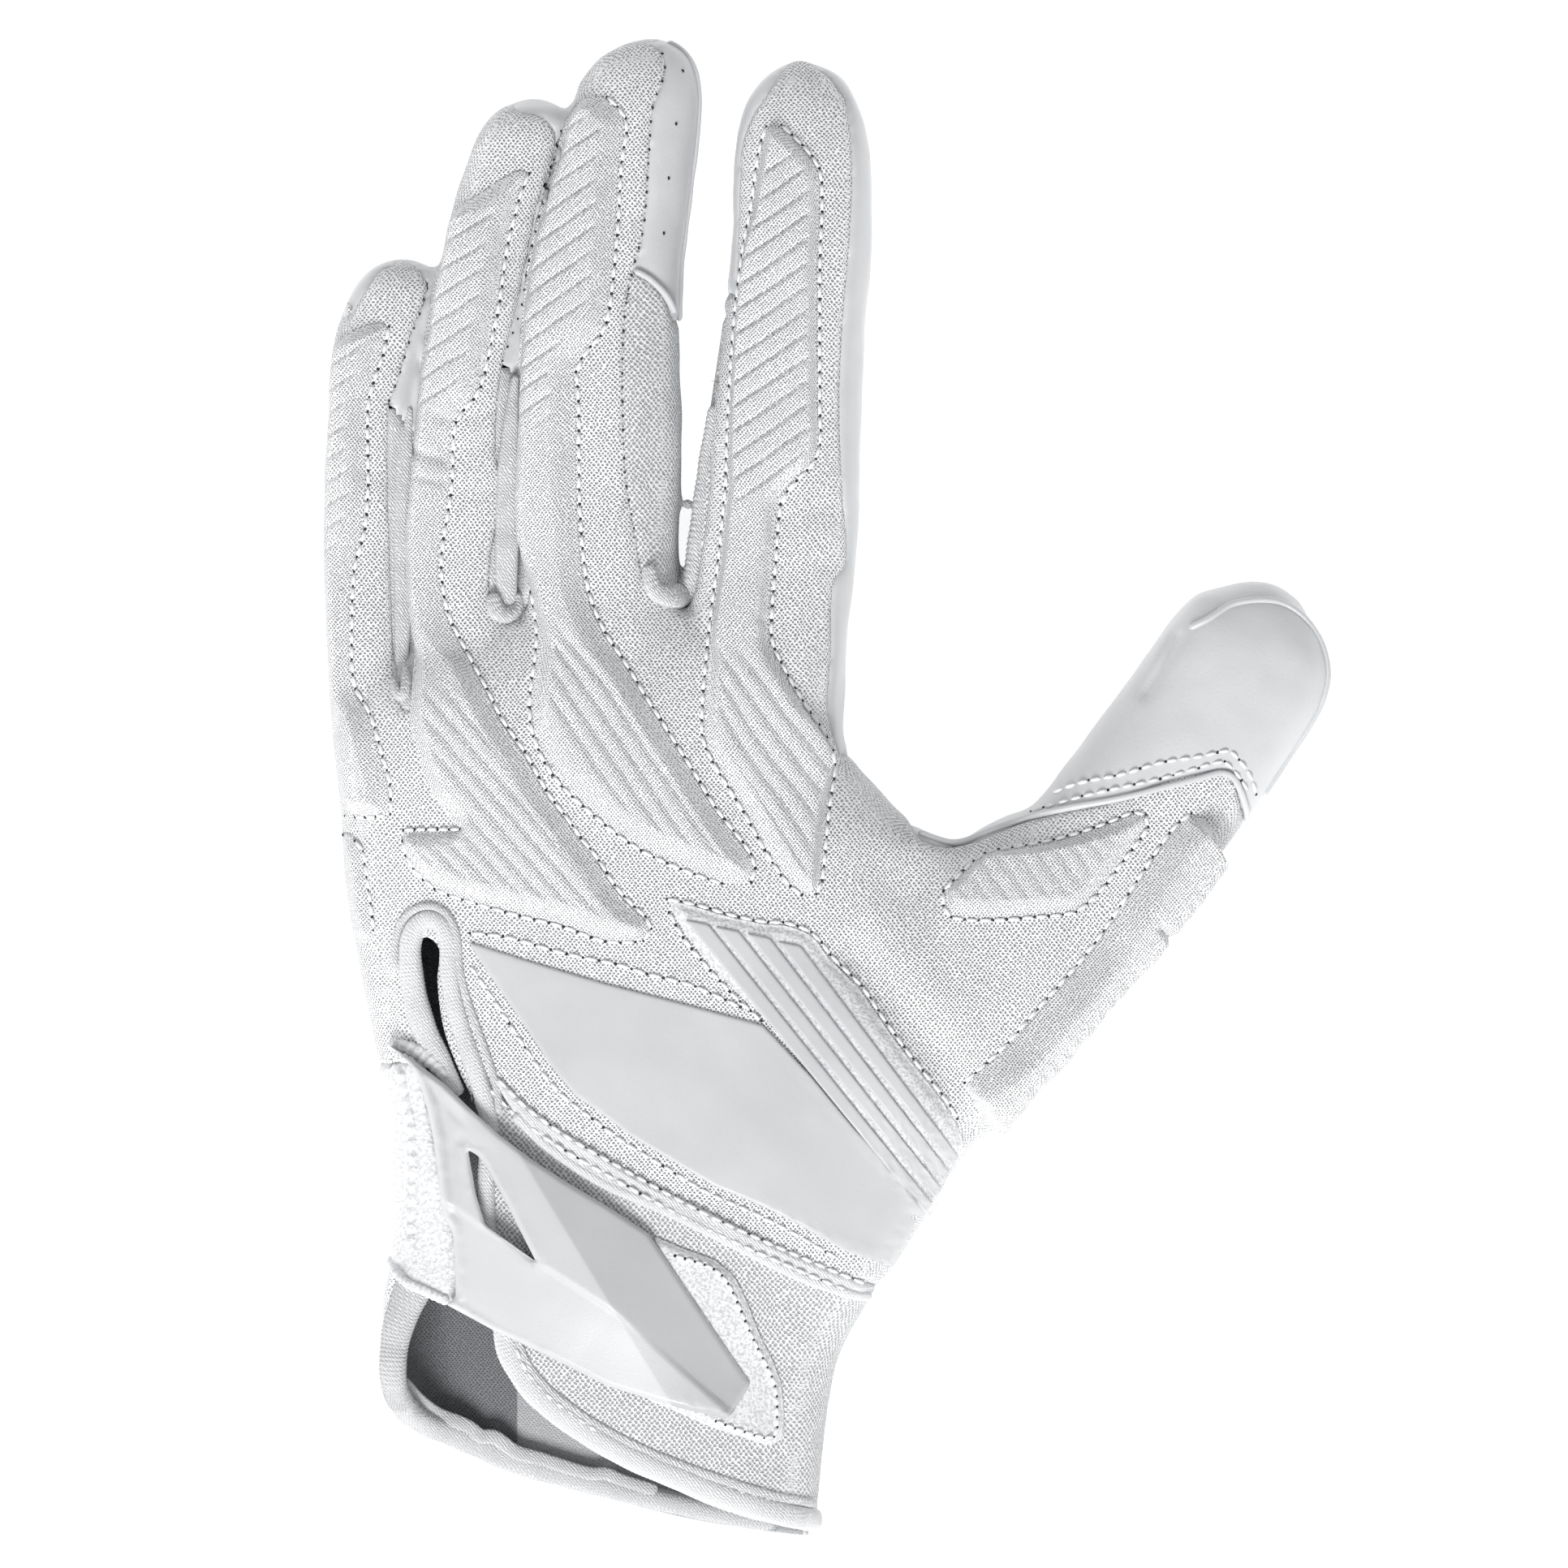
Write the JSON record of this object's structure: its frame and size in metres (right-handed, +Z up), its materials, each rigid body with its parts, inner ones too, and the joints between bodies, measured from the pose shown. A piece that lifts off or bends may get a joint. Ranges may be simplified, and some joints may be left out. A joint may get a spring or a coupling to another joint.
{
  "type": "football glove",
  "caption": "White left-hand football glove with a knit back, ribbed foam pads, a smooth palm, a rubber back plate and a wrist strap over an open cuff.",
  "frame": {"origin": "on the surface that the glove lies on, under the middle of its outline", "axes": "+Y towards the fingertips, +X towards the thumb, +Z up out of the back of the hand"},
  "size_m": [0.1644, 0.2448, 0.0447],
  "materials": {
    "knit": "white warp knit with a fine open mesh",
    "pad_knit": "white mesh knit moulded over foam, with ribs",
    "smooth_leather": "white coated synthetic leather, half gloss",
    "twill": "white finely ribbed binding tape",
    "rubber": "white moulded rubber, satin",
    "hook_tape": "white brushed loop tape with a stitched border"
  },
  "bodies": {
    "root": {"back_panel": "knit", "palm_panel": "smooth_leather", "thumb_wrap": "smooth_leather", "fourchette_index_middle": "knit", "fourchette_middle_ring": "knit", "fourchette_ring_pinky": "knit", "web_binding_index_middle": "twill", "web_binding_middle_ring": "twill", "web_binding_ring_pinky": "twill", "middle_pad": "pad_knit", "ring_pad": "pad_knit", "pinky_pad": "pad_knit", "index_pad": "pad_knit", "side_pad": "pad_knit", "thumb_pad": "pad_knit", "thumb_edge_pad": "pad_knit", "back_plate": "rubber", "rib_field": "knit", "rubber_rib_1": "rubber", "rubber_rib_2": "rubber", "rubber_rib_3": "rubber", "rubber_rib_4": "rubber", "seam_tape": "twill", "cuff_flap": "knit", "palm_cuff": "knit", "strap_base": "knit", "strap_tab": "rubber", "hook_patch": "hook_tape", "keyhole_binding": "twill", "back_hem_binding": "twill", "palm_hem_binding": "twill"}
  },
  "joints": []
}
